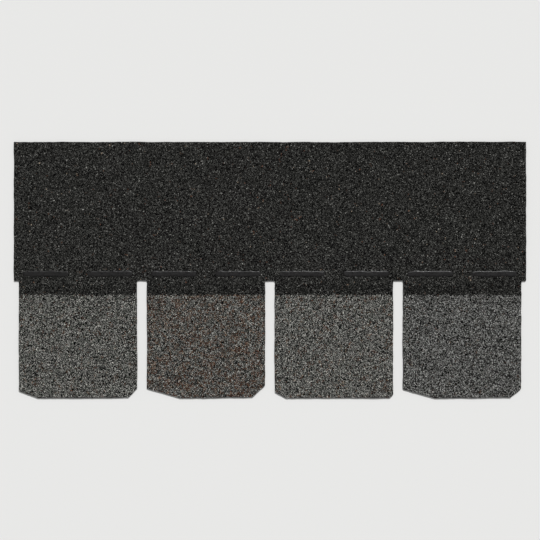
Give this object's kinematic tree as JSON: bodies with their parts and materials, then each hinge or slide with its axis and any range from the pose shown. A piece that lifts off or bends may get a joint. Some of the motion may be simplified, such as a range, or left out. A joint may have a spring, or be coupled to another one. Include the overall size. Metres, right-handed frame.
{
  "type": "asphalt roof shingle",
  "caption": "Flat asphalt strip shingle with a plain headlap above a row of tabs that are set apart by full-depth slots and have their lower corners cut off at an angle.",
  "frame": {"origin": "middle of the sheet's back, half-way along the strip and half-way up it", "axes": "+X along the strip, to the right when the granules are seen with the tabs down; +Y up the roof slope, from the butt edge to the top edge; +Z out of the granule face"},
  "size_m": [0.9144, 0.4572, 0.0048],
  "materials": {
    "granule_face": "rough mineral granules pressed into black asphalt, in mixed greys with rust and brown flecks on the tabs and near black on the headlap",
    "asphalt_coating": "black filled asphalt, matt and broken at the cut edges, dusted with fine grey mineral on the back",
    "sealant": "glossy black adhesive asphalt",
    "release_film": "thin clear polyester film over the dark coating, slightly wrinkled"
  },
  "bodies": {
    "root": {"shingle_sheet": "granule_face", "seal_strip": "sealant", "release_film": "release_film"}
  },
  "joints": []
}
